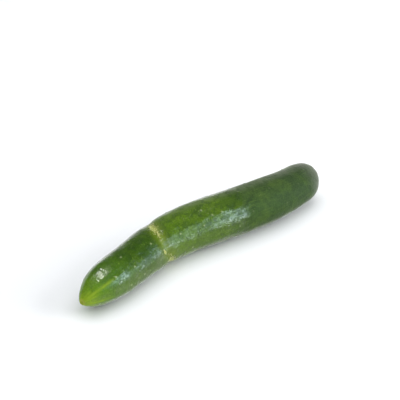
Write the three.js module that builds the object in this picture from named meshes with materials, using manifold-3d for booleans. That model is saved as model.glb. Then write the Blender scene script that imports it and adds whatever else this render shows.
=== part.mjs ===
import * as THREE from "three";
import { mergeVertices } from "three/addons/utils/BufferGeometryUtils.js";
import Module from "manifold-3d";

// A slim, faintly ribbed cucumber lying on its underside, with the blossom end at -X and the stem end at +X.
// Lengths are millimetres. Distances "along" run on the bent axis from the blossom end to the stem end.
// Angles are degrees. Round the section 0 is the +Y side, 90 the top, 180 the -Y side, 270 the underside.

// Overall form of the fruit
const fruitLength = 205;
const blossomHalfRadius = 11.8;
const stemHalfRadius = 14.25;
const swell = { at: 73, spread: 42 };
const neck = { at: 172.5, spread: 25, share: 0.115 };
const blossomTaper = { length: 38, power: 0.625 };
const stemTaper = { length: 20.3, power: 2.35 };
const shoulder = { at: 16, spread: 13, facing: 45, height: 1.1 };

// Bends of the axis, seen from above, the drop of the nose and the lift of the stem end
const startHeading = 9.8;
const crook = { at: 78, spread: 32, turn: -22.4 };
const hook = { at: 161, spread: 35.5, turn: 18.9 };
const noseDrop = { length: 36, height: 0.9 };
const stemLift = { length: 14, height: 1.8 };

// Section: three soft lobes and the ribs that run from end to end
const lobes = { count: 3, at: 75, height: 0.22 };
const ribCrests = [31, 70, 112, 147, 200, 240, 278, 315, 352];
const ribHalfWidth = 13;
const ribHeight = { blossom: 0.28, middle: 0.12, stem: 0.16 };
const ribFade = { blossom: 48, stem: 45 };

// Healed scar: a slanted waist round the fruit where it bends
const waist = { at: 72, slant: 8, facing: 141, reach: 45, depth: 0.75, halfWidth: 3.4 };

// Blossom scar: a dimple with a blunt rim; each step inwards has a share of the rim's radius and a depth
const blossomRim = 0.8;
const blossomDimple = [
  { share: 0.78, depth: 0.02 },
  { share: 0.5, depth: 0.42 },
];
const blossomDepth = 0.5;

// Seat of the stalk: a shallow cup in the stem end
const seatRim = 0.5;
const seatSteps = [
  { radius: 3.35, depth: 0.55 },
  { radius: 3.05, depth: 1.1 },
];
const seatDepth = 1.12;

// Low warts: the ones that stand out, as [along, angle], and the rest, each turned on from the one before
const plainWarts = [[36, 147], [42, 184], [98, 153], [101, 115], [106, 136], [113, 136], [134, 160]];
const wart = { count: 62, turn: 137.5, from: 16, to: 190, scatter: 5, radius: 0.8, height: 0.36 };
const wartSides = 6;
const wartRows = 4;
const wartSpacing = 7;
const underside = { angle: 270, freeOfWarts: 34 };
const seed = 20717;
const drawFactor = 16807;
const drawModulus = 2147483647;

// Flat strip that the fruit has settled on
const restDepth = 0.3;

// Cut stalk
const stalkGap = 0.3;
const stalkLength = 5.4;
const stalkTurn = 32;
const stalkDrop = 8;
const stalkRadius = { base: 2.7, waist: 1.85, cut: 1.95 };
const stalkFlare = 0.38;
const stalkRidges = { count: 5, share: 0.11 };
const stalkRows = 8;
const stalkCutDent = 0.25;

// Finishes
const waxySkin = { color: 0x55762f, roughness: 0.36, metalness: 0 };
const dryStem = { color: 0x85835a, roughness: 0.85, metalness: 0 };

// Fineness of the faceted solids
const facetsPerRib = 4;
const facetsPerRidge = 4;
const longestStep = 2.6;
const endStep = { shortest: 0.5, growth: 0.1 };
const waistStep = { shortest: 1.2, growth: 0.15 };
const axisStep = 0.25;

const { degToRad, lerp, smoothstep, euclideanModulo } = THREE.MathUtils;
const rise = (along, zone) => smoothstep(along, zone.at - zone.spread, zone.at + zone.spread);

function headingAt(along) {
  const bends = crook.turn * rise(along, crook) + hook.turn * rise(along, hook);
  return degToRad(startHeading + bends);
}

function bodyRadius(along) {
  const swollen = lerp(blossomHalfRadius, stemHalfRadius, rise(along, swell));
  return swollen * (1 - neck.share * rise(along, neck));
}

function taperShare(along) {
  const fromBlossom = Math.max(0, 1 - along / blossomTaper.length);
  const fromStem = Math.max(0, 1 - (fruitLength - along) / stemTaper.length);
  const blossomShare = (1 - fromBlossom ** 2) ** blossomTaper.power;
  const stemShare = (1 - fromStem ** stemTaper.power) ** (1 / stemTaper.power);
  return blossomShare * stemShare;
}

// The axis stands at the body's radius, so the underside meets the surface all along, save at the two ends.
const axisPoints = [new THREE.Vector2()];
for (let along = 0; along < fruitLength; along += axisStep) {
  const heading = headingAt(along + axisStep / 2);
  const step = new THREE.Vector2(Math.cos(heading), Math.sin(heading)).multiplyScalar(axisStep);
  axisPoints.push(axisPoints.at(-1).clone().add(step));
}

function axisFrame(along) {
  const place = along / axisStep;
  const index = Math.min(Math.floor(place), axisPoints.length - 2);
  const plan = axisPoints[index].clone().lerp(axisPoints[index + 1], place - index);
  const heading = headingAt(along);
  const drop = noseDrop.height * Math.max(0, 1 - along / noseDrop.length) ** 2;
  const lift = stemLift.height * Math.max(0, 1 - (fruitLength - along) / stemLift.length) ** 2;
  return {
    centre: new THREE.Vector3(plan.x, plan.y, bodyRadius(along) - drop + lift),
    ahead: new THREE.Vector3(Math.cos(heading), Math.sin(heading), 0),
    side: new THREE.Vector3(-Math.sin(heading), Math.cos(heading), 0),
    up: new THREE.Vector3(0, 0, 1),
  };
}

function sectionPoint(along, angle, radius) {
  const { centre, side, up } = axisFrame(along);
  const across = radius * Math.cos(degToRad(angle));
  const height = radius * Math.sin(degToRad(angle));
  return centre.addScaledVector(side, across).addScaledVector(up, height);
}

function angleBetween(a, b) {
  return Math.abs(euclideanModulo(a - b + 180, 360) - 180);
}

function ribRise(along, angle) {
  const towardsBlossom = 1 - smoothstep(along, 0, ribFade.blossom);
  const towardsStem = 1 - smoothstep(fruitLength - along, 0, ribFade.stem);
  const extra = ribHeight.blossom * towardsBlossom + ribHeight.stem * towardsStem;
  const nearest = Math.min(...ribCrests.map((crest) => angleBetween(angle, crest)));
  return (ribHeight.middle + extra) * Math.exp(-((nearest / ribHalfWidth) ** 2));
}

// Lines round the fruit lean with the healed scar, so the waist follows one of them.
function slanted(line, angle) {
  const share = Math.max(0, 1 - ((line - waist.at) / waist.reach) ** 2);
  return line - waist.slant * share ** 2 * Math.cos(degToRad(angle - waist.facing));
}

function shoulderRise(along, angle) {
  const facing = Math.max(0, Math.cos(degToRad(angle - shoulder.facing)));
  return shoulder.height * facing ** 2 * Math.exp(-(((along - shoulder.at) / shoulder.spread) ** 2));
}

function skinRadius(line, angle) {
  const along = slanted(line, angle);
  const lobe = lobes.height * Math.cos(degToRad(lobes.count * (angle - lobes.at)));
  const pinch = waist.depth * Math.exp(-(((line - waist.at) / waist.halfWidth) ** 2));
  const relief = lobe + ribRise(along, angle) + shoulderRise(along, angle) - pinch;
  return taperShare(along) * (bodyRadius(along) + relief);
}

function skinPoint(line, angle) {
  return sectionPoint(slanted(line, angle), angle, skinRadius(line, angle));
}

// Closed skin over rings of points, with a middle point at each end.
function closedTube(startMiddle, rings, endMiddle) {
  const sides = rings[0].length;
  const points = [startMiddle, ...rings.flat(), endMiddle];
  const last = points.length - 1;
  const triangles = [];
  for (let side = 0; side < sides; side += 1) {
    const next = (side + 1) % sides;
    triangles.push(0, 1 + next, 1 + side);
    for (let ring = 0; ring + 1 < rings.length; ring += 1) {
      const here = 1 + ring * sides;
      const beyond = here + sides;
      triangles.push(here + side, here + next, beyond + next);
      triangles.push(here + side, beyond + next, beyond + side);
    }
    triangles.push(last, last - sides + side, last - sides + next);
  }
  return new THREE.BufferGeometry().setFromPoints(points).setIndex(triangles);
}

const wasm = await Module();
wasm.setup();

function solidOf(geometry) {
  const bare = geometry.clone();
  bare.deleteAttribute("normal");
  bare.deleteAttribute("uv");
  const merged = mergeVertices(bare);
  const vertProperties = new Float32Array(merged.attributes.position.array);
  const triVerts = new Uint32Array(merged.index.array);
  return new wasm.Manifold(new wasm.Mesh({ numProp: 3, vertProperties, triVerts }));
}

function geometryOf(solid) {
  const mesh = solid.getMesh();
  const geometry = new THREE.BufferGeometry();
  geometry.setAttribute("position", new THREE.BufferAttribute(new Float32Array(mesh.vertProperties), 3));
  geometry.setIndex(new THREE.BufferAttribute(new Uint32Array(mesh.triVerts), 1));
  geometry.computeVertexNormals();
  return geometry;
}

// Facets run along the rib crests and split each gap between two crests evenly.
const sideAngles = ribCrests.flatMap((crest, index) => {
  const gap = euclideanModulo(ribCrests[(index + 1) % ribCrests.length] - crest, 360);
  return Array.from({ length: facetsPerRib }, (_, part) => crest + (gap * part) / facetsPerRib);
});

function stepAt(line) {
  const toEnd = Math.min(line, fruitLength - line);
  const nearEnd = endStep.shortest + endStep.growth * toEnd;
  const nearWaist = waistStep.shortest + waistStep.growth * Math.abs(line - waist.at);
  return Math.min(longestStep, nearEnd, nearWaist);
}

function ringAcross(along, radiusAt) {
  return sideAngles.map((angle) => sectionPoint(along, angle, radiusAt(angle)));
}

function fruitSkin() {
  const stemRim = fruitLength - seatRim;
  const rings = blossomDimple.map(({ share, depth }) =>
    ringAcross(blossomRim + depth, (angle) => share * skinRadius(blossomRim, angle)),
  ).reverse();
  for (let line = blossomRim; line < stemRim - endStep.shortest; line += stepAt(line)) {
    rings.push(sideAngles.map((angle) => skinPoint(line, angle)));
  }
  rings.push(sideAngles.map((angle) => skinPoint(stemRim, angle)));
  seatSteps.forEach(({ radius, depth }) => rings.push(ringAcross(fruitLength - depth, () => radius)));
  const blossomMiddle = sectionPoint(blossomRim + blossomDepth, 0, 0);
  const stemMiddle = sectionPoint(fruitLength - seatDepth, 0, 0);
  return closedTube(blossomMiddle, rings, stemMiddle);
}

// Evenly spread numbers from 0 to 1, the same on every build.
let drawn = seed;
function draw() {
  drawn = (drawn * drawFactor) % drawModulus;
  return drawn / drawModulus;
}

function wartPlaces() {
  const places = [...plainWarts];
  const radius = stemHalfRadius;
  for (let index = 0; index < wart.count; index += 1) {
    const along = lerp(wart.from, wart.to, (index + draw()) / wart.count);
    const angle = euclideanModulo(index * wart.turn + wart.scatter * (draw() - 0.5), 360);
    const clear = places.every(([otherAlong, otherAngle]) => {
      const round = degToRad(angleBetween(angle, otherAngle)) * radius;
      return Math.hypot(along - otherAlong, round) > wartSpacing;
    });
    const onUnderside = angleBetween(angle, underside.angle) < underside.freeOfWarts;
    const onScar = Math.abs(along - slanted(waist.at, angle)) < 2 * waist.halfWidth;
    if (clear && !onUnderside && !onScar) places.push([along, angle]);
  }
  return places;
}

function wartSolid([along, angle]) {
  const ball = new THREE.SphereGeometry(wart.radius, wartSides, wartRows);
  const sunk = skinRadius(along, angle) - wart.radius + wart.height;
  const place = sectionPoint(along, angle, sunk);
  return solidOf(ball.translate(place.x, place.y, place.z));
}

function fruitGeometry() {
  const whole = wartPlaces().reduce((solid, place) => solid.add(wartSolid(place)), solidOf(fruitSkin()));
  const slab = new THREE.BoxGeometry(2 * fruitLength, 2 * fruitLength, fruitLength);
  slab.translate(fruitLength / 2, 0, restDepth - fruitLength / 2);
  return geometryOf(whole.subtract(solidOf(slab)));
}

// The stalk starts in its seat and turns aside and down on the way to the cut.
function stalkGeometry() {
  const seat = axisFrame(fruitLength - seatDepth + stalkGap);
  const sides = stalkRidges.count * facetsPerRidge;
  const place = seat.centre.clone();
  const rings = [];
  let ahead = seat.ahead;
  for (let row = 0; row <= stalkRows; row += 1) {
    const share = row / stalkRows;
    const turn = degToRad(stalkTurn * share);
    const drop = degToRad(stalkDrop * share);
    ahead = seat.ahead.clone().multiplyScalar(Math.cos(turn)).addScaledVector(seat.side, Math.sin(turn));
    ahead.multiplyScalar(Math.cos(drop)).addScaledVector(seat.up, -Math.sin(drop));
    if (row > 0) place.addScaledVector(ahead, stalkLength / stalkRows);
    const left = new THREE.Vector3().crossVectors(seat.up, ahead).normalize();
    const over = new THREE.Vector3().crossVectors(ahead, left);
    const flare = (stalkRadius.base - stalkRadius.waist) * (1 - smoothstep(share, 0, stalkFlare));
    const swollen = (stalkRadius.cut - stalkRadius.waist) * smoothstep(share, 1 - stalkFlare, 1);
    const radius = stalkRadius.waist + flare + swollen;
    rings.push(Array.from({ length: sides }, (_, side) => {
      const angle = (2 * Math.PI * side) / sides;
      const ridged = radius * (1 + stalkRidges.share * (Math.cos(stalkRidges.count * angle) - 1) / 2);
      const point = place.clone().addScaledVector(left, ridged * Math.cos(angle));
      return point.addScaledVector(over, ridged * Math.sin(angle));
    }));
  }
  const cutMiddle = place.clone().addScaledVector(ahead, -stalkCutDent);
  return geometryOf(solidOf(closedTube(seat.centre, rings, cutMiddle)));
}

const part = new THREE.Group();
part.name = "cucumber";

function addNode(name, geometry, finish) {
  const mesh = new THREE.Mesh(geometry, new THREE.MeshStandardMaterial(finish));
  mesh.name = name;
  part.add(mesh);
}

addNode("fruit", fruitGeometry(), waxySkin);
addNode("stalk", stalkGeometry(), dryStem);

// The origin is under the middle of the bounding box, on the surface the fruit lies on.
const extent = new THREE.Box3().setFromObject(part);
const middle = extent.getCenter(new THREE.Vector3());
part.children.forEach((mesh) => mesh.geometry.translate(-middle.x, -middle.y, -extent.min.z));

export default part;
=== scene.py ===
import math

import bpy
import numpy as np
from mathutils import Matrix, Vector, noise


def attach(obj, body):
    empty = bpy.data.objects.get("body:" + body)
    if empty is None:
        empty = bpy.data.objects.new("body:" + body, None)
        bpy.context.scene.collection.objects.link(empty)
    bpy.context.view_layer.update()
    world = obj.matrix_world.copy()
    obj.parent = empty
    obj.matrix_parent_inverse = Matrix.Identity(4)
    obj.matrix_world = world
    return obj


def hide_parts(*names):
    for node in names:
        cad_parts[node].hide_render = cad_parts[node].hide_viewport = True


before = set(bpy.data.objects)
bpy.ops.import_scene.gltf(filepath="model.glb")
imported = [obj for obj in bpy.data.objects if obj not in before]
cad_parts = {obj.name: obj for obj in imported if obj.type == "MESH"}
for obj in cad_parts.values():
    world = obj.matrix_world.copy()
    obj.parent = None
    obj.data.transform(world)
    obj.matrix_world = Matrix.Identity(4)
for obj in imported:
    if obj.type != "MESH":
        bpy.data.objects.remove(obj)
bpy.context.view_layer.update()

millimetre = 0.001
scene = bpy.context.scene
print("frame loaded:", sorted(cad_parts))


# Small helpers for meshes

def smoothStep(value, low, high):
    share = np.clip((value - low) / (high - low), 0.0, 1.0)
    return share * share * (3.0 - 2.0 * share)


def bell(value, middle, spread):
    return np.exp(-(((value - middle) / spread) ** 2))


def angleBetween(first, second):
    return np.abs((first - second + 180.0) % 360.0 - 180.0)


def grain(points, scale, offset):
    # soft noise from -1 to 1 at each row of points
    shifted = points * scale + np.array(offset)
    return np.array([noise.noise(Vector(place)) for place in shifted])


def makeMesh(name, points, faces):
    mesh = bpy.data.meshes.new(name)
    mesh.from_pydata((points * millimetre).tolist(), [], faces)
    mesh.validate()
    mesh.polygons.foreach_set("use_smooth", [True] * len(mesh.polygons))
    piece = bpy.data.objects.new(name, mesh)
    scene.collection.objects.link(piece)
    return piece


def tubeFaces(rings, sides):
    # closed skin over a start point, rings of points and an end point
    faces = []
    last = rings * sides + 1
    for side in range(sides):
        beside = (side + 1) % sides
        faces.append((0, 1 + beside, 1 + side))
        for ring in range(rings - 1):
            here = 1 + ring * sides
            beyond = here + sides
            faces.append((here + side, here + beside, beyond + beside, beyond + side))
        faces.append((last, last - sides + side, last - sides + beside))
    return faces


def addValues(piece, name, values):
    layer = piece.data.attributes.new(name, "FLOAT", "POINT")
    layer.data.foreach_set("value", np.asarray(values, np.float32))


def addVectors(piece, name, vectors):
    layer = piece.data.attributes.new(name, "FLOAT_VECTOR", "POINT")
    layer.data.foreach_set("vector", np.asarray(vectors, np.float32).ravel())


# Form of the fruit in millimetres and degrees, the same as the solid's.
# Distances run on the bent axis from the blossom end.
# Facings run round the section: 90 is the top and 180 the near side.
fruitForm = {
    "length": 205.0,
    "start": (-104.199, -3.526, -0.3),    # axis start in the part's frame
    "blossomRadius": 11.8,
    "stemRadius": 14.25,
    "swell": (73.0, 42.0),                # middle and spread of the change of radius
    "neck": (172.5, 25.0, 0.115),         # middle, spread and share of the radius lost
    "blossomTaper": (38.0, 0.625),        # length and power
    "stemTaper": (20.3, 2.35),
    "shoulder": (16.0, 13.0, 45.0, 1.1),  # place, spread, facing, height
    "heading": 9.8,
    "crook": (78.0, 32.0, -22.4),         # middle, spread and turn of a bend
    "hook": (161.0, 35.5, 18.9),
    "noseDrop": (36.0, 0.9),              # length and height
    "stemLift": (14.0, 1.8),
    "lobes": (3, 75.0, 0.22),             # count, facing, height
    "ribCrests": (31, 70, 112, 147, 200, 240, 278, 315, 352),
    "ribHalfWidth": 13.0,
    "ribHeight": (0.28, 0.12, 0.16),      # blossom end, middle, stem end
    "ribFade": (48.0, 45.0),              # reach from the blossom end and from the stem end
    "waist": (72.0, 3.4, 0.75),           # place, half width, depth
    "waistSlant": (8.0, 141.0, 45.0),     # slant, facing, reach
}


def riseOver(along, zone):
    return smoothStep(along, zone[0] - zone[1], zone[0] + zone[1])


def headingAt(along):
    crook, hook = fruitForm["crook"], fruitForm["hook"]
    bends = crook[2] * riseOver(along, crook) + hook[2] * riseOver(along, hook)
    return np.radians(fruitForm["heading"] + bends)


def bodyRadius(along):
    growth = fruitForm["stemRadius"] - fruitForm["blossomRadius"]
    swollen = fruitForm["blossomRadius"] + growth * riseOver(along, fruitForm["swell"])
    return swollen * (1.0 - fruitForm["neck"][2] * riseOver(along, fruitForm["neck"]))


def taperShare(along):
    blossomLength, blossomPower = fruitForm["blossomTaper"]
    stemLength, stemPower = fruitForm["stemTaper"]
    fromBlossom = np.clip(1.0 - along / blossomLength, 0.0, 1.0)
    fromStem = np.clip(1.0 - (fruitForm["length"] - along) / stemLength, 0.0, 1.0)
    return (1.0 - fromBlossom ** 2) ** blossomPower * (1.0 - fromStem ** stemPower) ** (1.0 / stemPower)


axisStep = 0.25
axisAlong = np.arange(0.0, fruitForm["length"] + axisStep / 2, axisStep)
axisHeading = headingAt(axisAlong[:-1] + axisStep / 2)
axisX = np.concatenate([[0.0], np.cumsum(np.cos(axisHeading)) * axisStep])
axisY = np.concatenate([[0.0], np.cumsum(np.sin(axisHeading)) * axisStep])


def axisPoint(along):
    dropLength, dropHeight = fruitForm["noseDrop"]
    liftLength, liftHeight = fruitForm["stemLift"]
    drop = dropHeight * np.clip(1.0 - along / dropLength, 0.0, 1.0) ** 2
    lift = liftHeight * np.clip(1.0 - (fruitForm["length"] - along) / liftLength, 0.0, 1.0) ** 2
    height = bodyRadius(along) - drop + lift
    startX, startY, startZ = fruitForm["start"]
    planX = np.interp(along, axisAlong, axisX) + startX
    planY = np.interp(along, axisAlong, axisY) + startY
    return np.stack([planX, planY, height + startZ], -1)


def sectionPoint(along, angle, radius):
    heading = headingAt(along)
    side = np.stack([-np.sin(heading), np.cos(heading), 0.0 * heading], -1)
    across = (radius * np.cos(np.radians(angle)))[..., None]
    point = axisPoint(along) + across * side
    point[..., 2] += radius * np.sin(np.radians(angle))
    return point


def straightPlace(along, angle, radius):
    # the fruit laid out straight: a seamless place for noise and for the skin's pattern
    turn = np.radians(angle)
    return np.stack([along, radius * np.cos(turn), radius * np.sin(turn)], -1)


def slanted(line, angle):
    slant, facing, reach = fruitForm["waistSlant"]
    share = np.clip(1.0 - ((line - fruitForm["waist"][0]) / reach) ** 2, 0.0, 1.0)
    return line - slant * share ** 2 * np.cos(np.radians(angle - facing))


def crestShare(angle):
    nearest = np.min([angleBetween(angle, crest) for crest in fruitForm["ribCrests"]], axis=0)
    return bell(nearest, 0.0, fruitForm["ribHalfWidth"])


def broadRadius(line, angle):
    # the solid's own skin
    along = slanted(line, angle)
    count, at, height = fruitForm["lobes"]
    lobe = height * np.cos(np.radians(count * (angle - at)))
    blossomRib, middleRib, stemRib = fruitForm["ribHeight"]
    towardsBlossom = 1.0 - smoothStep(along, 0.0, fruitForm["ribFade"][0])
    towardsStem = 1.0 - smoothStep(fruitForm["length"] - along, 0.0, fruitForm["ribFade"][1])
    rib = (middleRib + blossomRib * towardsBlossom + stemRib * towardsStem) * crestShare(angle)
    shoulderAt, shoulderSpread, facing, shoulderHeight = fruitForm["shoulder"]
    turned = np.clip(np.cos(np.radians(angle - facing)), 0.0, 1.0) ** 2
    shoulder = shoulderHeight * turned * bell(along, shoulderAt, shoulderSpread)
    waistAt, waistSpread, waistDepth = fruitForm["waist"]
    pinch = waistDepth * bell(line, waistAt, waistSpread)
    return taperShare(along) * (bodyRadius(along) + lobe + rib + shoulder - pinch)


# Slow swellings, shallow dents a few millimetres across, and the peel's fine unevenness.
# A noise is its scales along, across and up, then an offset that sets it apart.
skinRelief = {
    "waveHeight": 0.10,
    "waveNoise": ((0.045, 0.11, 0.11), (3.1, 7.7, 1.9)),
    "dentHeight": 0.16,
    "dentNoise": ((0.15, 0.24, 0.24), (5.5, 0.4, 8.8)),
    "peelHeight": 0.022,
    "peelNoise": ((0.36, 0.42, 0.42), (9.2, 4.4, 6.1)),
    "finePeelShare": 0.6,
    "finePeelNoise": ((0.8, 0.95, 0.95), (2.4, 8.3, 5.7)),
}


def unevenSkin(along, straight):
    form = skinRelief
    peel = grain(straight, *form["peelNoise"])
    peel = peel + form["finePeelShare"] * grain(straight, *form["finePeelNoise"])
    height = form["waveHeight"] * grain(straight, *form["waveNoise"])
    height = height + form["dentHeight"] * grain(straight, *form["dentNoise"])
    return taperShare(along) * (height + form["peelHeight"] * peel)


# Corky ring in the waist, in patches that wander and crumble at the edges
scarForm = {
    "patches": (                        # facing and spread in degrees, shift and half width along, strength
        (90, 30, 0.4, 3.1, 1.05),
        (118, 12, 1.0, 2.2, 0.75),
        (132, 14, 0.6, 1.4, 0.60),
        (168, 10, -1.7, 1.3, 0.95),
        (182, 9, 1.4, 2.2, 0.60),
        (207, 20, 1.6, 3.4, 1.05),
        (262, 34, 0.0, 1.9, 0.9),
        (318, 26, 0.7, 2.2, 0.8),
        (18, 34, -0.4, 1.9, 0.95),
    ),
    "crumbNoise": ((0.9, 0.9, 0.9), (4.2, 2.6, 7.4)),
    "fineCrumbShare": 0.6,
    "fineCrumbNoise": ((2.1, 2.1, 2.1), (1.7, 9.1, 3.3)),
    "ragged": 0.30,                     # how far crumbs break up the edge
    "edge": (0.30, 0.70),
    "height": 0.20,
    "evenShare": 0.6,
    "crumbShare": 0.6,
    "glow": (0.6, 4.6),                 # yellowed skin beside the cork: shift and half width
    "glowShare": (0.8, 0.4),            # even and cloudy
    "glowNoise": ((0.3, 0.3, 0.3), (8.1, 3.9, 0.7)),
}


def ringScar(line, angle, straight):
    # patches of cork, their height and the glow beside them
    form = scarForm
    waistAt = fruitForm["waist"][0]
    patches = np.zeros(len(line))
    for facing, spread, shift, halfWidth, strength in form["patches"]:
        turned = bell(angleBetween(angle, facing), 0.0, spread)
        patches = np.maximum(patches, strength * turned * bell(line, waistAt + shift, halfWidth))
    crumble = grain(straight, *form["crumbNoise"])
    crumble = crumble + form["fineCrumbShare"] * grain(straight, *form["fineCrumbNoise"])
    cork = smoothStep(patches + form["ragged"] * crumble, *form["edge"])
    height = form["height"] * cork * (form["evenShare"] + form["crumbShare"] * crumble)
    shift, halfWidth = form["glow"]
    even, cloudy = form["glowShare"]
    glow = bell(line, waistAt + shift, halfWidth) * (even + cloudy * grain(straight, *form["glowNoise"]))
    return patches, height, np.clip(glow, 0.0, 1.0)


# Pale lines that run back from the blossom end on the rib crests
paleLines = {
    "lines": (                          # facing in degrees, reach, strength, half width
        (31, 22, 0.8, 0.6),
        (70, 10, 0.6, 0.5),
        (95, 8, 0.6, 0.5),
        (116, 10, 0.7, 0.5),
        (141, 26, 1.0, 0.8),
        (160, 11, 0.8, 0.6),
        (178, 9, 0.5, 0.5),
        (194, 20, 0.9, 0.7),
        (212, 14, 0.5, 0.5),
        (240, 22, 0.8, 0.6),
        (278, 16, 0.7, 0.6),
        (315, 26, 0.9, 0.6),
        (352, 18, 0.7, 0.6),
    ),
    "wander": (2.4, 0.16),              # degrees aside, noise scale along
    "breaks": (0.7, 0.5),               # depth, noise scale along
    "noiseOffset": (0.5, 2.5),
    "fadeFrom": 0.25,                   # share of the reach
}


def lineMask(along, angle, radius, straight):
    aside, asideScale = paleLines["wander"]
    depth, depthScale = paleLines["breaks"]
    small, large = paleLines["noiseOffset"]
    mask = np.zeros(len(along))
    for facing, reach, strength, halfWidth in paleLines["lines"]:
        wander = aside * grain(straight, (asideScale, 0.0, 0.0), (facing, small, large))
        away = np.radians(angleBetween(angle, facing + wander)) * radius
        broken = 1.0 + depth * grain(straight, (depthScale, 0.0, 0.0), (large, facing, small))
        fading = 1.0 - smoothStep(along, paleLines["fadeFrom"] * reach, reach)
        mask = np.maximum(mask, strength * broken * fading * bell(away, 0.0, halfWidth))
    return np.clip(mask, 0.0, 1.0)


# Warts: the plain ones by along and facing, then a seeded turning rule
wartRule = {
    "plain": ((36, 147), (42, 184), (98, 153), (101, 115), (106, 136), (113, 136), (134, 160)),
    "count": 62,
    "turn": 137.5,                      # degrees from each to the next
    "from": 16.0,
    "to": 190.0,
    "scatter": 5.0,                     # degrees
    "spacing": 7.0,                     # least distance between two
    "underside": (270.0, 34.0),         # facing and half width that stay clear
    "seed": 20717,
    "multiplier": 16807,
    "modulus": 2147483647,
    "height": 0.26,
    "spread": 0.48,
}


def wartPlaces():
    # the same turning rule and the same draws as the solid's
    rule = wartRule
    drawn = rule["seed"]
    places = list(rule["plain"])
    for index in range(rule["count"]):
        drawn = drawn * rule["multiplier"] % rule["modulus"]
        share = (index + drawn / rule["modulus"]) / rule["count"]
        along = rule["from"] + (rule["to"] - rule["from"]) * share
        drawn = drawn * rule["multiplier"] % rule["modulus"]
        angle = (index * rule["turn"] + rule["scatter"] * (drawn / rule["modulus"] - 0.5)) % 360.0
        clear = all(
            math.hypot(along - other, math.radians(angleBetween(angle, turn)) * fruitForm["stemRadius"])
            > rule["spacing"]
            for other, turn in places
        )
        under = angleBetween(angle, rule["underside"][0]) < rule["underside"][1]
        onScar = abs(along - slanted(fruitForm["waist"][0], angle)) < 2 * fruitForm["waist"][1]
        if clear and not under and not onScar:
            places.append((along, angle))
    return places


def wartTips(along, angle, radius, places):
    mask = np.zeros(len(along))
    for place, facing in places:
        aside = np.radians(angleBetween(angle, facing)) * radius
        mask = np.maximum(mask, bell(np.hypot(along - place, aside), 0.0, wartRule["spread"]))
    return mask


# Where the finish of the skin changes, in millimetres along and degrees round
skinZones = {
    "tipLean": (4.5, 14.0, 50.0),          # lean of the pale tip: length, reach, facing away
    "polished": (105.0, 58.0, 92.0),       # facing, where it starts to dull, where it is dull
    "leastPolish": 0.2,
    "wornNose": (14.0, 22.0),              # dull flank of the nose: from and to along
    "wornFlank": (20.0, 34.0),             # the same, round from the polished facing
    "litBelly": (225.0, 40.0, 72.0),          # paler lower near flank, partly a pale side, partly painted light: facing, where it starts to fade, where it is gone
    "litBellyAlong": (66.0, 112.0, 156.8),    # where it starts to fade, is faint, is gone
    "litBellyLoss": 0.7,                      # how much the first fading takes
    "sheenFilm": (55.0, 22.0, 58.0),            # grey wax film with painted sheen: facing, where it starts to fade, where it is gone
    "sheenFilmAlong": (45.0, 105.0),            # where it starts, where it is full
    "sheenFilmEnd": 180.0,                      # from here it closes round the stem end
}


def facingShare(angle, zone):
    facing, full, gone = zone
    return 1.0 - smoothStep(angleBetween(angle, facing), full, gone)


def polishMask(along, angle):
    zones = skinZones
    least = zones["leastPolish"]
    polished = least + (1.0 - least) * facingShare(angle, zones["polished"])
    flank = smoothStep(angleBetween(angle, zones["polished"][0]), *zones["wornFlank"])
    return polished * (1.0 - flank * (1.0 - smoothStep(along, *zones["wornNose"])))


def litBellyMask(along, angle):
    # paler lower near flank: partly a pale side, partly painted light that fades towards the far half
    start, faint, gone = skinZones["litBellyAlong"]
    mask = facingShare(angle, skinZones["litBelly"])
    mask = mask * (1.0 - skinZones["litBellyLoss"] * smoothStep(along, start, faint))
    return mask * (1.0 - smoothStep(along, faint, gone))


def sheenFilmMask(along, angle):
    # wax film with painted sheen: on the upper far side, closing round the stem end
    mask = facingShare(angle, skinZones["sheenFilm"]) * smoothStep(along, *skinZones["sheenFilmAlong"])
    return np.maximum(mask, smoothStep(along, skinZones["sheenFilmEnd"], fruitForm["length"]))


def leanedAlong(straight):
    # the pale tip leans to the near side
    length, reach, facing = skinZones["tipLean"]
    turn = np.arctan2(straight[:, 2], straight[:, 1]) - math.radians(facing)
    lean = length * bell(straight[:, 0], 0.0, reach) * (0.5 + 0.5 * np.cos(turn))
    return np.clip((straight[:, 0] + lean) / fruitForm["length"], 0.0, 1.0)


# Blossom scar and stalk seat: rings that step inwards to a middle point
endForm = {
    "blossomRim": 0.8,                  # where the scar's rim stands
    "blossomSteps": (                   # share of the rim's radius, depth, strength of the scar's colour
        (0.36, 0.46, 1.0),
        (0.58, 0.40, 1.0),
        (0.74, 0.14, 1.0),
        (0.86, 0.0, 0.75),
        (0.95, -0.06, 0.75),
    ),
    "blossomDepth": 0.5,
    "rimColor": (3.0, 0.35, 0.5),       # colour outside the rim: reach, spread, strength
    "seatRim": 0.5,
    "seatSteps": ((3.55, 0.42), (3.3, 0.6), (3.1, 0.95), (2.85, 1.1)),  # radius, depth
    "seatDepth": 1.12,
    "seatSpread": 2.2,                  # how far the seat's colour reaches
}

# Fineness of the mesh in millimetres
fruitMesh = {
    "sides": 240,
    "seam": -90.0,                      # facing of the cut in the flat map: the underside
    "mapMargin": 0.004,
    "step": 0.56,
    "endStep": 0.16,
    "waistStep": 0.4,
    "stepGrowth": 0.035,
}


def ringLines():
    # where the rings stand: closer at the ends and at the waist
    lines = [endForm["blossomRim"]]
    stemRim = fruitForm["length"] - endForm["seatRim"]
    while True:
        line = lines[-1]
        toEnd = min(line, fruitForm["length"] - line)
        nearEnd = fruitMesh["endStep"] + fruitMesh["stepGrowth"] * toEnd
        nearWaist = fruitMesh["waistStep"] + fruitMesh["stepGrowth"] * abs(line - fruitForm["waist"][0])
        line += min(fruitMesh["step"], nearEnd, nearWaist)
        if line > stemRim - fruitMesh["endStep"]:
            break
        lines.append(line)
    return np.array(lines + [stemRim])


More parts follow.
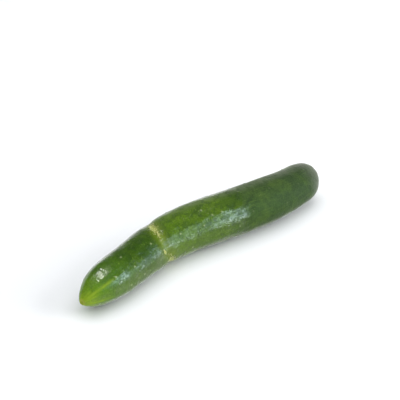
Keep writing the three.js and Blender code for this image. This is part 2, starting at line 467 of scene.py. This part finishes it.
def layFlat(piece, ringCount):
    # one flat map over the whole skin, cut along the seam
    mesh = piece.data
    sides, margin = fruitMesh["sides"], fruitMesh["mapMargin"]
    rows = np.linspace(margin, 1.0 - margin, ringCount)
    lastPoint = len(mesh.vertices) - 1
    places = np.zeros((len(mesh.loops), 2))
    for face in mesh.polygons:
        corners = {index: mesh.loops[index].vertex_index for index in face.loop_indices}
        onRings = {index: corner for index, corner in corners.items() if 0 < corner < lastPoint}
        columns = {index: (corner - 1) % sides for index, corner in onRings.items()}
        if max(columns.values()) - min(columns.values()) > sides // 2:  # across the seam
            columns = {index: column or sides for index, column in columns.items()}
        for index, corner in corners.items():
            if index in columns:
                places[index] = (rows[(corner - 1) // sides], columns[index] / sides)
            else:  # the middle of an end
                places[index] = (float(corner == lastPoint), (max(columns.values()) - 0.5) / sides)
    layer = mesh.uv_layers.new(name="OFBake")
    layer.data.foreach_set("uv", places.ravel().astype(np.float32))


def buildFruit():
    sides, length = fruitMesh["sides"], fruitForm["length"]
    lines = ringLines()
    angles = fruitMesh["seam"] + np.arange(sides) * 360.0 / sides
    line, angle = [part.ravel() for part in np.meshgrid(lines, angles, indexing="ij")]
    along = slanted(line, angle)
    radius = broadRadius(line, angle)
    straight = straightPlace(along, angle, radius)

    patches, corkHeight, glow = ringScar(line, angle, straight)
    wartSpots = wartPlaces()
    warts = wartTips(along, angle, radius, wartSpots)
    relief = unevenSkin(along, straight) + corkHeight + wartRule["height"] * warts
    finished = radius + relief

    rim, blossomSteps, seatSteps = endForm["blossomRim"], endForm["blossomSteps"], endForm["seatSteps"]
    blossomRings = [(np.full(sides, rim + depth), angles, share * finished[:sides])
                    for share, depth, strength in blossomSteps]
    seatRings = [(np.full(sides, length - depth), angles, np.full(sides, wide))
                 for wide, depth in seatSteps]
    points = np.concatenate([
        axisPoint(np.array([rim + endForm["blossomDepth"]])),
        *[sectionPoint(*ring) for ring in blossomRings],
        sectionPoint(along, angle, finished),
        *[sectionPoint(*ring) for ring in seatRings],
        axisPoint(np.array([length - endForm["seatDepth"]])),
    ])
    points[:, 2] = np.maximum(points[:, 2], 0.0)  # settled flat where it rests
    places = np.concatenate([
        [[rim, 0.0, 0.0]],
        *[straightPlace(*ring) for ring in blossomRings],
        straight,
        *[straightPlace(*ring) for ring in seatRings],
        [[length, 0.0, 0.0]],
    ])
    ringCount = len(blossomSteps) + len(lines) + len(seatSteps)
    piece = makeMesh("cucumberFruit", points, tubeFaces(ringCount, sides))

    # masks over the skin, then their values on the blossom scar and in the stalk seat
    reach, spread, strength = endForm["rimColor"]
    rimColor = np.where(along < reach, bell(along, rim, spread), 0.0) * strength
    discColor = np.concatenate([[1.0], np.repeat([step[2] for step in blossomSteps], sides)])
    masks = {
        "stripeMask": (lineMask(along, angle, radius, straight), 0.0, 0.0),
        "corkPatch": (patches, 0.0, 0.0),
        "scarGlow": (glow, 0.0, 0.0),
        "wartMask": (warts, 0.0, 0.0),
        "polishMask": (polishMask(along, angle), skinZones["leastPolish"], skinZones["leastPolish"]),
        "litBellyMask": (litBellyMask(along, angle), 0.0, 0.0),
        "sheenFilmMask": (sheenFilmMask(along, angle), 0.0, 1.0),
        "scarDisc": (rimColor, discColor, 0.0),
        "seatMask": (bell(length - along, 0.0, endForm["seatSpread"]), 0.0, 1.0),
    }
    before, after = 1 + len(blossomSteps) * sides, len(seatSteps) * sides + 1
    for name, (mask, first, final) in masks.items():
        ends = np.broadcast_to(first, before), np.broadcast_to(final, after)
        addValues(piece, name, np.concatenate([ends[0], mask, ends[1]]))
    addVectors(piece, "skinPlace", places)
    addValues(piece, "alongShare", leanedAlong(places))
    layFlat(piece, ringCount)
    print("fruit:", len(points), "points,", len(wartSpots), "warts")
    return piece


fruit = buildFruit()


# Cut stalk in its seat, in millimetres and degrees; the solid's form with fibres and a rough cut
stalkForm = {
    "gap": 0.3,                         # over the floor of the seat
    "length": 5.4,
    "turn": 32.0,                       # how far it bends aside and down
    "drop": 8.0,
    "radius": (2.95, 1.85, 1.95),       # base, waist, cut
    "flare": 0.38,                      # share of the length at either end
    "ridges": 5,
    "ridgeShare": 0.11,
    "rows": 44,
    "sides": 120,
    "fibreHeight": 0.05,
    "fibreNoise": ((0.7, 5.28, 5.28), (6.3, 1.1, 4.8)),
    "cutRows": (0.9, 0.7, 0.45, 0.2),   # shares of the cut's radius
    "cutDent": 0.25,
    "cutHeight": 0.05,
    "cutNoise": ((1.0, 2.0, 2.0), (3.0, 3.0, 3.0)),
    "cutMark": 1.2,                     # what tells the cut from the side
}


def stalkRadius(share, turns):
    form = stalkForm
    base, waist, cut = form["radius"]
    radius = waist + (base - waist) * (1.0 - smoothStep(share, 0.0, form["flare"]))
    radius += (cut - waist) * smoothStep(share, 1.0 - form["flare"], 1.0)
    ridged = radius * (1.0 + form["ridgeShare"] * (np.cos(form["ridges"] * turns) - 1.0) / 2.0)
    where = np.stack([np.full(len(turns), share), np.cos(turns), np.sin(turns)], -1)
    return ridged + form["fibreHeight"] * grain(where, *form["fibreNoise"])


def buildStalk():
    form = stalkForm
    sides, rows = form["sides"], form["rows"]
    base = np.array([fruitForm["length"] - endForm["seatDepth"] + form["gap"]])
    heading = float(headingAt(base)[0])
    forward = np.array([math.cos(heading), math.sin(heading), 0.0])
    side = np.array([-math.sin(heading), math.cos(heading), 0.0])
    up = np.array([0.0, 0.0, 1.0])
    start = axisPoint(base)[0]
    middle = start.copy()
    turns = np.linspace(0.0, 2.0 * math.pi, sides, endpoint=False)
    rings, shares, places = [], [], []
    for row in range(rows + 1):
        share = row / rows
        turn, drop = math.radians(form["turn"] * share), math.radians(form["drop"] * share)
        ahead = forward * math.cos(turn) + side * math.sin(turn)
        ahead = ahead * math.cos(drop) - up * math.sin(drop)
        if row:
            middle = middle + ahead * form["length"] / rows
        left = np.cross(up, ahead)
        left = left / np.linalg.norm(left)
        over = np.cross(ahead, left)
        radius = stalkRadius(share, turns)
        across, high = radius * np.cos(turns), radius * np.sin(turns)
        rings.append(middle + np.outer(across, left) + np.outer(high, over))
        shares.append(np.full(sides, share))
        places.append(np.stack([np.full(sides, share * form["length"]), across, high], -1))
    rim, rimPlaces = rings[-1], places[-1]
    for inset in form["cutRows"]:
        depth = form["cutDent"] * (1.0 - inset)
        rough = form["cutHeight"] * grain(places[-1] * inset, *form["cutNoise"])
        rings.append(middle + (rim - middle) * inset - np.outer(depth - rough, ahead))
        shares.append(np.full(sides, form["cutMark"]))
        places.append(rimPlaces * np.array([1.0, inset, inset]))
    points = np.concatenate([[start], *rings, [middle - ahead * form["cutDent"]]])
    piece = makeMesh("cucumberStalk", points, tubeFaces(len(rings), sides))
    addVectors(piece, "skinPlace", np.concatenate([[[0, 0, 0]], *places, [[form["length"], 0, 0]]]))
    addValues(piece, "cutShare", np.concatenate([[0.0], *shares, [form["cutMark"]]]))
    print("stalk:", len(points), "points")
    return piece


stalk = buildStalk()


# Shader node helpers

def newMaterial(name):
    material = bpy.data.materials.new(name)
    material.use_nodes = True
    tree = material.node_tree
    return material, tree, tree.nodes["Principled BSDF"]


def addNode(tree, kind, **settings):
    made = tree.nodes.new(kind)
    for key, value in settings.items():
        setattr(made, key, value)
    return made


editorGrid = (220, 190)  # width of a column and height of a row in the node editor


def spreadNodes(last):
    # columns by distance from the last node, so that the tree can be read
    columns = {last: 0}
    queue = [last]
    for node in queue:
        for link in [link for socket in node.inputs for link in socket.links]:
            if link.from_node not in columns:
                columns[link.from_node] = columns[node] + 1
                queue.append(link.from_node)
    rows = {}
    for node, column in columns.items():
        rows[column] = rows.get(column, -1) + 1
        node.location = (-editorGrid[0] * column, -editorGrid[1] * rows[column])


def attribute(tree, name, output="Fac"):
    return addNode(tree, "ShaderNodeAttribute", attribute_name=name).outputs[output]


def mathNode(tree, operation, first, second, clamp=False):
    made = addNode(tree, "ShaderNodeMath", operation=operation, use_clamp=clamp)
    for socket, value in zip(made.inputs, (first, second)):
        if isinstance(value, (int, float)):
            socket.default_value = value
        else:
            tree.links.new(value, socket)
    return made.outputs[0]


def product(tree, first, *others):
    for other in others:
        first = mathNode(tree, "MULTIPLY", first, other)
    return first


def largest(tree, first, *others):
    for other in others:
        first = mathNode(tree, "MAXIMUM", first, other)
    return first


def mapRange(tree, value, low, high, toLow=0.0, toHigh=1.0):
    made = addNode(tree, "ShaderNodeMapRange", interpolation_type="SMOOTHSTEP")
    tree.links.new(value, made.inputs["Value"])
    for key, number in (("From Min", low), ("From Max", high), ("To Min", toLow), ("To Max", toHigh)):
        made.inputs[key].default_value = number
    return made.outputs["Result"]


def mixColor(tree, factor, first, second, blend="MIX"):
    made = addNode(tree, "ShaderNodeMix", data_type="RGBA", blend_type=blend)
    factorAt, firstAt, secondAt, resultAt = 0, 6, 7, 2  # the sockets that mix colours
    for index, value in ((factorAt, factor), (firstAt, first), (secondAt, second)):
        socket = made.inputs[index]
        if isinstance(value, (int, float)):
            socket.default_value = value
        elif isinstance(value, tuple):
            socket.default_value = (*value, 1.0)
        else:
            tree.links.new(value, socket)
    return made.outputs[resultAt]


def colorRamp(tree, value, stops):
    made = addNode(tree, "ShaderNodeValToRGB")
    ramp = made.color_ramp
    ramp.interpolation = "EASE"
    while len(ramp.elements) < len(stops):
        ramp.elements.new(0.5)
    for element, (position, color) in zip(ramp.elements, stops):
        element.position = position
        element.color = (*color, 1.0)
    tree.links.new(value, made.inputs["Fac"])
    return made.outputs["Color"]


def valueRamp(tree, value, stops):
    return colorRamp(tree, value, [(spot, (level,) * 3) for spot, level in stops])


def noiseValue(tree, place, scale, detail):
    made = addNode(tree, "ShaderNodeTexNoise")
    made.inputs["Scale"].default_value = scale
    made.inputs["Detail"].default_value = detail
    tree.links.new(place, made.inputs["Vector"])
    return made.outputs["Fac"]


def bumpNormal(tree, height, distance, strength):
    made = addNode(tree, "ShaderNodeBump")
    made.inputs["Strength"].default_value = strength
    made.inputs["Distance"].default_value = distance
    tree.links.new(height, made.inputs["Height"])
    return made.outputs["Normal"]


# Grain of anything that grew: mottling, lengthwise fibres and fine specks
grainLook = {
    "scales": {"Mottle Scale": 0.25, "Fibre Scale": 0.9, "Speck Scale": 1.6},
    "mottleDetail": 4.0,
    "mottleRoughness": 0.62,
    "fibreStretch": (0.12, 1.0, 1.0),
    "fibreDetail": 3.0,
    "speckEdge": (0.10, 0.32),
}


def plantGrainGroup():
    group = bpy.data.node_groups.new("plantGrain", "ShaderNodeTree")
    interface = group.interface
    interface.new_socket("Place", in_out="INPUT", socket_type="NodeSocketVector")
    for name, value in grainLook["scales"].items():
        interface.new_socket(name, in_out="INPUT", socket_type="NodeSocketFloat").default_value = value
    for name in ("Mottle", "Fibre", "Speck"):
        interface.new_socket(name, in_out="OUTPUT", socket_type="NodeSocketFloat")
    source = addNode(group, "NodeGroupInput")
    result = addNode(group, "NodeGroupOutput")

    mottle = addNode(group, "ShaderNodeTexNoise")
    mottle.inputs["Detail"].default_value = grainLook["mottleDetail"]
    mottle.inputs["Roughness"].default_value = grainLook["mottleRoughness"]
    group.links.new(source.outputs["Place"], mottle.inputs["Vector"])
    group.links.new(source.outputs["Mottle Scale"], mottle.inputs["Scale"])

    stretch = addNode(group, "ShaderNodeMapping")
    stretch.inputs["Scale"].default_value = grainLook["fibreStretch"]
    group.links.new(source.outputs["Place"], stretch.inputs["Vector"])
    fibre = addNode(group, "ShaderNodeTexNoise")
    fibre.inputs["Detail"].default_value = grainLook["fibreDetail"]
    group.links.new(stretch.outputs["Vector"], fibre.inputs["Vector"])
    group.links.new(source.outputs["Fibre Scale"], fibre.inputs["Scale"])

    speck = addNode(group, "ShaderNodeTexVoronoi")
    group.links.new(source.outputs["Place"], speck.inputs["Vector"])
    group.links.new(source.outputs["Speck Scale"], speck.inputs["Scale"])
    dots = mapRange(group, speck.outputs["Distance"], *grainLook["speckEdge"], 1.0, 0.0)

    group.links.new(mottle.outputs["Fac"], result.inputs["Mottle"])
    group.links.new(fibre.outputs["Fac"], result.inputs["Fibre"])
    group.links.new(dots, result.inputs["Speck"])
    spreadNodes(result)
    return group


plantGrain = plantGrainGroup()


def placeGrain(tree, place, scales):
    made = addNode(tree, "ShaderNodeGroup", node_tree=plantGrain)
    tree.links.new(place, made.inputs["Place"])
    for name, value in zip(grainLook["scales"], scales):
        made.inputs[name].default_value = value
    return made.outputs["Mottle"], made.outputs["Fibre"], made.outputs["Speck"]


# Waxy green skin. Along runs from 0 at the blossom end to 1 at the stem end. A noise is its scale and detail.
# A layer's from is where its noise starts to show it and where it shows in full.
# Four numbers are a range of the noise or along, and the range that it turns into.
skinLook = {
    "ground": (
        (0.000, (0.290, 0.400, 0.014)),
        (0.018, (0.210, 0.340, 0.012)),
        (0.046, (0.100, 0.210, 0.010)),
        (0.095, (0.052, 0.124, 0.007)),
        (0.200, (0.029, 0.072, 0.005)),
        (0.320, (0.032, 0.077, 0.005)),
        (0.375, (0.068, 0.136, 0.007)),
        (0.520, (0.058, 0.117, 0.008)),
        # darker from here towards the stem end: partly the fruit's own colour, partly painted shade
        (0.660, (0.029, 0.066, 0.0065)),
        (0.850, (0.018, 0.044, 0.006)),
        (1.000, (0.015, 0.036, 0.006)),
    ),
    "freshAlong": ((0.0, 0.55), (0.32, 0.60), (0.40, 1.0), (0.58, 1.0), (0.78, 0.50)),  # pattern's strength
    "grainScales": (0.26, 0.8, 0.55),   # mottling, fibres, specks
    "cloudNoise": (0.075, 3.0),
    "crumbNoise": (1.3, 4.0),
    "thinNoise": (0.16, 1.0),           # where the specks are sparse
    "ripe": {"color": (0.085, 0.155, 0.006), "share": 0.45, "from": (0.46, 0.70), "along": (0.08, 0.16)},
    "dark": {"factor": (0.50, 0.58, 0.60), "share": 0.78, "from": (0.46, 0.60)},
    "fibre": {"color": (0.120, 0.200, 0.030), "share": 0.22, "from": (0.52, 0.72)},
    "speck": {"color": (0.120, 0.200, 0.030), "share": 0.62, "from": (0.44, 0.58)},
    "raisedAlong": (0.50, 0.70, 1.0, 0.15),  # how specks and warts fade
    # paler lower near flank: partly a pale side, partly painted light that fades towards the far half
    "litBelly": {"color": (0.140, 0.195, 0.055), "share": 0.42, "mottle": (0.36, 0.60, 0.55, 1.0)},
    # grey towards the stem end: partly wax bloom, partly painted sheen
    "bloomAndSheen": {"color": (0.075, 0.105, 0.055), "share": 0.10, "along": (0.50, 0.82), "wander": 0.30},
    "cap": {"color": (0.205, 0.205, 0.185), "share": 0.22, "along": (0.885, 0.985), "wander": 0.06},
    "stipple": ((0.36, 0.82), (0.50, 1.0), (0.64, 1.20)),  # fine dark and pale grain
    "stripe": (0.210, 0.320, 0.020),
    # pale wart tips, partly painted glints
    "wart": {"color": (0.380, 0.450, 0.220), "share": 0.75},
    "glow": {"color": (0.150, 0.215, 0.012), "share": 0.75},
    "cork": {"pale": (0.480, 0.500, 0.190), "deep": (0.250, 0.310, 0.030), "tone": (0.42, 0.60),
             "share": 0.72, "crumble": 1.5, "from": (0.36, 0.60)},
    "corkEdge": {"color": (0.200, 0.190, 0.030), "share": 0.45, "width": 3.2},
    "seat": {"color": (0.120, 0.180, 0.040), "share": 0.7},
    "disc": (0.330, 0.390, 0.050),
    "sheenFilm": (                           # pale wax film with painted sheen on the far half's upper side and round the stem end
        (0.30, (0.150, 0.200, 0.085)),
        (0.75, (0.165, 0.190, 0.130)),
        (1.00, (0.200, 0.208, 0.172)),
    ),
    "sheenFilmShare": 0.46,
    "sheenFilmMottle": (0.36, 0.62, 1.0, 0.45),
    "roughness": (0.3, 0.7, 0.16, 0.30),  # over the mottling
    "dullRoughness": 0.60,
    "dullAlong": (0.610, 0.645),        # where the polish ends
    "dullWander": (0.06, 0.09),         # with the clouds, with the mottling
    "corkRoughness": 0.70,
    "glowDullness": 0.6,
    "waxNoise": (0.36, 2.0),            # patchy wax
    "waxRange": (0.36, 0.62, 0.25, 1.00),
    "waxAlong": (
        (0.0, 1.0), (0.13, 1.0), (0.17, 0.65), (0.24, 0.60), (0.28, 1.0),
        (0.33, 1.0), (0.36, 0.32), (0.42, 0.27), (0.48, 0.52), (0.57, 1.0),
    ),
    "waxLines": (0.40, 0.58, 0.50, 1.15),  # lengthwise breaks in the wax
    "waxPores": (0.42, 0.58, 0.45, 1.45),
    "coatRoughness": 0.06,
    "specular": 0.12,
    "sheen": 0.75,
    "sheenRoughness": 0.25,
    "sheenTint": (0.95, 1.0, 0.88),
    "pitNoise": (0.75, 1.5),
    "fibreHeight": 0.3,
    "bumpDistance": 0.00022,
    "coatPitNoise": (0.85, 1.0),
    "coatPitDistance": 0.000150,
    "bumpStrength": 1.0,
}


def skinMaterial():
    look = skinLook
    noiseMiddle = 0.5
    material, tree, shader = newMaterial("cucumberSkin")
    place = attribute(tree, "skinPlace", "Vector")
    along = attribute(tree, "alongShare")
    patches, glow = attribute(tree, "corkPatch"), attribute(tree, "scarGlow")
    disc, seat = attribute(tree, "scarDisc"), attribute(tree, "seatMask")
    mottle, fibre, speck = placeGrain(tree, place, look["grainScales"])

    def noiseOf(name):
        return noiseValue(tree, place, *look[name])

    def within(value, limits):
        return mapRange(tree, value, *limits)

    def times(*values):
        return product(tree, *values)

    def wandering(value, wobble, amount):
        sway = mathNode(tree, "SUBTRACT", wobble, noiseMiddle)
        return mathNode(tree, "ADD", value, times(sway, amount))

    def over(ground, mask, layer):
        return mixColor(tree, times(mask, layer["share"]), ground, layer["color"])

    cloud, crumb = noiseOf("cloudNoise"), noiseOf("crumbNoise")

    # green ground, darker towards the stem end partly as painted shade: yellower clouds, dark mottling,
    # lengthwise fibres and pale specks
    color = colorRamp(tree, along, look["ground"])
    fresh = valueRamp(tree, along, look["freshAlong"])
    raised = within(along, look["raisedAlong"])
    ripe = times(within(cloud, look["ripe"]["from"]), within(along, look["ripe"]["along"]), fresh)
    color = over(color, ripe, look["ripe"])
    darkened = mixColor(tree, 1.0, color, look["dark"]["factor"], "MULTIPLY")
    blotched = times(within(mottle, look["dark"]["from"]), fresh)
    color = mixColor(tree, times(blotched, look["dark"]["share"]), color, darkened)
    color = over(color, times(within(fibre, look["fibre"]["from"]), fresh), look["fibre"])
    thinned = within(noiseOf("thinNoise"), look["speck"]["from"])
    color = over(color, times(speck, raised, thinned), look["speck"])

    # paler lower near flank (partly painted light), grey towards the stem end (partly painted sheen), fine
    # grain, pale lines and pale-tipped warts (partly painted glints)
    litBelly = times(attribute(tree, "litBellyMask"), within(mottle, look["litBelly"]["mottle"]))
    color = over(color, litBelly, look["litBelly"])
    # grey towards the stem end: partly wax bloom, partly painted sheen
    for name in ("bloomAndSheen", "cap"):
        grey = wandering(along, cloud, look[name]["wander"])
        color = over(color, within(grey, look[name]["along"]), look[name])
    color = mixColor(tree, 1.0, color, valueRamp(tree, crumb, look["stipple"]), "MULTIPLY")
    color = mixColor(tree, attribute(tree, "stripeMask"), color, look["stripe"])
    # pale wart tips, partly painted glints
    color = over(color, times(attribute(tree, "wartMask"), raised), look["wart"])

    # yellowed skin round the scar, the cork with brown crumbled edges, the two ends, then the grey wax film
    # with painted sheen
    color = over(color, glow, look["glow"])
    corkLook, edgeLook = look["cork"], look["corkEdge"]
    corked = wandering(times(patches, corkLook["share"]), crumb, corkLook["crumble"])
    cork = within(corked, corkLook["from"])
    corkTone = mixColor(tree, within(crumb, corkLook["tone"]), corkLook["deep"], corkLook["pale"])
    color = mixColor(tree, cork, color, corkTone)
    bare = mathNode(tree, "SUBTRACT", 1.0, cork)
    edge = mathNode(tree, "MULTIPLY", times(cork, edgeLook["width"]), bare, clamp=True)
    color = over(color, edge, edgeLook)
    color = over(color, seat, look["seat"])
    color = mixColor(tree, disc, color, look["disc"])
    # painted sheen with wax film: paler on the upper far side and at the stem end
    sheenFilm = times(attribute(tree, "sheenFilmMask"), within(mottle, look["sheenFilmMottle"]), look["sheenFilmShare"])
    color = mixColor(tree, sheenFilm, color, colorRamp(tree, along, look["sheenFilm"]))
    tree.links.new(color, shader.inputs["Base Color"])

    # polished up to a ragged line past the middle, dull beyond it, on cork and at the ends
    cloudWander, mottleWander = look["dullWander"]
    ragged = wandering(wandering(along, cloud, cloudWander), mottle, mottleWander)
    dull = within(ragged, look["dullAlong"])
    scarred = largest(tree, cork, disc, times(glow, look["glowDullness"]))
    rough = largest(tree, within(mottle, look["roughness"]), times(dull, look["dullRoughness"]))
    rough = largest(tree, rough, times(scarred, look["corkRoughness"]))
    tree.links.new(rough, shader.inputs["Roughness"])
    wax = within(noiseOf("waxNoise"), look["waxRange"])
    wax = times(wax, valueRamp(tree, along, look["waxAlong"]), attribute(tree, "polishMask"))
    wax = times(wax, within(fibre, look["waxLines"]), within(crumb, look["waxPores"]))
    polish = mathNode(tree, "SUBTRACT", 1.0, largest(tree, dull, scarred), clamp=True)
    tree.links.new(times(polish, wax), shader.inputs["Coat Weight"])
    shader.inputs["Coat Roughness"].default_value = look["coatRoughness"]
    shader.inputs["Specular IOR Level"].default_value = look["specular"]
    shader.inputs["Sheen Weight"].default_value = look["sheen"]
    shader.inputs["Sheen Roughness"].default_value = look["sheenRoughness"]
    shader.inputs["Sheen Tint"].default_value = (*look["sheenTint"], 1.0)

    # pits and fibres under the wax, crumbs in the cork, and the wax's own pits
    height = mathNode(tree, "ADD", noiseOf("pitNoise"), times(fibre, look["fibreHeight"]))
    height = mathNode(tree, "ADD", height, times(crumb, cork))
    normal = bumpNormal(tree, height, look["bumpDistance"], look["bumpStrength"])
    tree.links.new(normal, shader.inputs["Normal"])
    coatNormal = bumpNormal(tree, noiseOf("coatPitNoise"), look["coatPitDistance"], look["bumpStrength"])
    tree.links.new(coatNormal, shader.inputs["Coat Normal"])
    spreadNodes(shader)
    return material


# Dry cut stem
stalkLook = {
    "green": (0.150, 0.170, 0.060),
    "dry": (0.330, 0.290, 0.150),
    "dryFrom": (0.35, 0.65),
    "cut": (0.480, 0.420, 0.250),
    "cutFrom": (0.96, 1.08),
    "speckShare": 0.3,
    "grainScales": (1.2, 3.0, 3.0),     # mottling, fibres, specks
    "roughness": 0.8,
    "bumpDistance": 0.0002,
    "bumpStrength": 0.5,
}


def stalkMaterial():
    look = stalkLook
    material, tree, shader = newMaterial("cucumberStalk")
    mottle, fibre, speck = placeGrain(tree, attribute(tree, "skinPlace", "Vector"), look["grainScales"])
    color = mixColor(tree, mapRange(tree, fibre, *look["dryFrom"]), look["green"], look["dry"])
    color = mixColor(tree, product(tree, speck, look["speckShare"]), color, look["cut"])
    bare = mapRange(tree, attribute(tree, "cutShare"), *look["cutFrom"])
    color = mixColor(tree, bare, color, look["cut"])
    tree.links.new(color, shader.inputs["Base Color"])
    shader.inputs["Roughness"].default_value = look["roughness"]
    height = mathNode(tree, "ADD", fibre, mottle)
    normal = bumpNormal(tree, height, look["bumpDistance"], look["bumpStrength"])
    tree.links.new(normal, shader.inputs["Normal"])
    spreadNodes(shader)
    return material


fruit.data.materials.append(skinMaterial())
stalk.data.materials.append(stalkMaterial())
for piece, node, slot in ((fruit, "fruit", "skin"), (stalk, "stalk", "stalk")):
    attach(piece, "root")
    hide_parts(node)
print("materials set")


# Camera of the picture: angles in degrees, lengths in metres
cameraView = {
    "azimuth": -48.9,
    "elevation": 28.289,
    "distance": 0.65,
    "target": (-0.002838, -0.003554, 0.0127),
    "pan": 0.382,
    "tilt": 1.593,
    "lens": 99.51,
    "clip": 0.01,
}


def levelAxes():
    # to the right of the picture and away from the camera
    turn = math.radians(cameraView["azimuth"])
    right = Vector((math.cos(turn), math.sin(turn), 0.0))
    away = Vector((-math.sin(turn), math.cos(turn), 0.0))
    return right, away


def makeCamera():
    right, away = levelAxes()
    rise = math.radians(cameraView["elevation"])
    ahead = away * math.cos(rise) - Vector((0.0, 0.0, math.sin(rise)))
    up = right.cross(ahead)
    place = Vector(cameraView["target"]) - ahead * cameraView["distance"]
    tilt, pan = math.radians(cameraView["tilt"]), math.radians(cameraView["pan"])
    tilted = ahead * math.cos(tilt) + up * math.sin(tilt)
    upright = up * math.cos(tilt) - ahead * math.sin(tilt)
    facing = tilted * math.cos(pan) - right * math.sin(pan)
    across = right * math.cos(pan) + tilted * math.sin(pan)
    data = bpy.data.cameras.new("pictureCamera")
    data.lens = cameraView["lens"]
    data.clip_start = cameraView["clip"]
    camera = bpy.data.objects.new("pictureCamera", data)
    scene.collection.objects.link(camera)
    basis = Matrix((across, upright, -facing)).transposed()
    camera.matrix_world = Matrix.Translation(place) @ basis.to_4x4()
    scene.camera = camera


makeCamera()


# Soft light: places are metres to the right, away from the camera and up.
# The lights under gloss only show in the wax: window panes, a sill and a ledge below them, a strip above
# and a backdrop. Those under soft only light. A light with a turn lies level and faces down.
paneColor = (0.66, 0.87, 1.0)
white = (1.0, 1.0, 1.0)
lighting = {
    "gloss": {
        "nearPane": {"place": (1.15, -0.25, 0.375), "size": (0.76, 0.71), "power": 7.9,
                     "color": paneColor},
        "farPane": {"place": (1.15, 0.27, 0.20), "size": (0.28, 0.36), "power": 0.8,
                    "color": paneColor},
        "highPane": {"place": (1.15, -0.14, 0.90), "size": (0.98, 0.14), "power": 2.4,
                     "color": paneColor},
        "sill": {"place": (0.19, -0.070, 0.0065), "size": (0.045, 0.011), "power": 0.017,
                 "color": (0.85, 0.97, 1.0)},
        "ledge": {"place": (0.115, -0.03, 0.012), "size": (0.08, 0.022), "power": 0.016,
                  "color": (0.70, 0.89, 1.0)},
        "strip": {"place": (0.10, 0.20, 1.5), "size": (1.4, 0.11), "power": 20.0,
                  "color": (1.0, 0.98, 0.94), "turn": -34.8},
        "backdrop": {"place": (0.0, 2.2, 0.42), "size": (4.0, 0.8), "power": 5.0,
                     "color": white},
    },
    "soft": {
        "side": {"place": (1.15, -0.14, 0.45), "size": (0.98, 0.85), "power": 14.0,
                 "color": white},
        "fill": {"place": (-0.30, 0.25, 1.9), "size": (4.0, 4.0), "power": 76.0,
                 "color": white, "turn": 0.0},
    },
}
lightAim = (0.0, 0.0, 0.012)
roomTones = ((0.0, 0.55), (0.15, 0.55), (0.36, 0.18), (0.62, 0.06))  # height on the sky, brightness


def makeLight(name, values, inGloss):
    right, away = levelAxes()
    across, back, height = values["place"]
    place = right * across + away * back + Vector((0.0, 0.0, height))
    data = bpy.data.lights.new(name + "Light", "AREA")
    data.shape = "RECTANGLE"
    data.size, data.size_y = values["size"]
    data.energy = values["power"]
    data.color = values["color"]
    light = bpy.data.objects.new(name + "Light", data)
    scene.collection.objects.link(light)
    light.location = place
    light.visible_glossy = inGloss
    light.visible_diffuse = not inGloss
    light.visible_camera = False
    if "turn" in values:
        light.rotation_euler = (0.0, 0.0, math.radians(cameraView["azimuth"] + values["turn"]))
    else:
        light.rotation_euler = (Vector(lightAim) - place).to_track_quat("-Z", "Y").to_euler()


def makeRoom():
    # pale walls near the horizon, dim above
    world = bpy.data.worlds.new("paleRoom")
    world.use_nodes = True
    tree = world.node_tree
    source = addNode(tree, "ShaderNodeTexCoord")
    split = addNode(tree, "ShaderNodeSeparateXYZ")
    tree.links.new(source.outputs["Generated"], split.inputs["Vector"])
    background = tree.nodes["Background"]
    tree.links.new(valueRamp(tree, split.outputs["Z"], roomTones), background.inputs["Color"])
    spreadNodes(background)
    scene.world = world


for group, lights in lighting.items():
    for lightName, lightValues in lights.items():
        makeLight(lightName, lightValues, group == "gloss")
makeRoom()
scene.view_settings.view_transform = "Standard"


# Plain pale floor, in metres
floorLook = {"radius": 3.0, "sides": 96, "color": (0.89, 0.91, 0.935), "roughness": 0.9, "specular": 0.0}


def makeFloor():
    sides = floorLook["sides"]
    turns = np.linspace(0.0, 2.0 * math.pi, sides, endpoint=False)
    rim = np.stack([np.cos(turns), np.sin(turns), 0.0 * turns], -1) * floorLook["radius"] / millimetre
    floor = makeMesh("paleFloor", rim, [tuple(range(sides))])
    material, tree, shader = newMaterial("paleFloor")
    shader.inputs["Base Color"].default_value = (*floorLook["color"], 1.0)
    shader.inputs["Roughness"].default_value = floorLook["roughness"]
    shader.inputs["Specular IOR Level"].default_value = floorLook["specular"]
    floor.data.materials.append(material)


makeFloor()
print("camera, light and floor set")
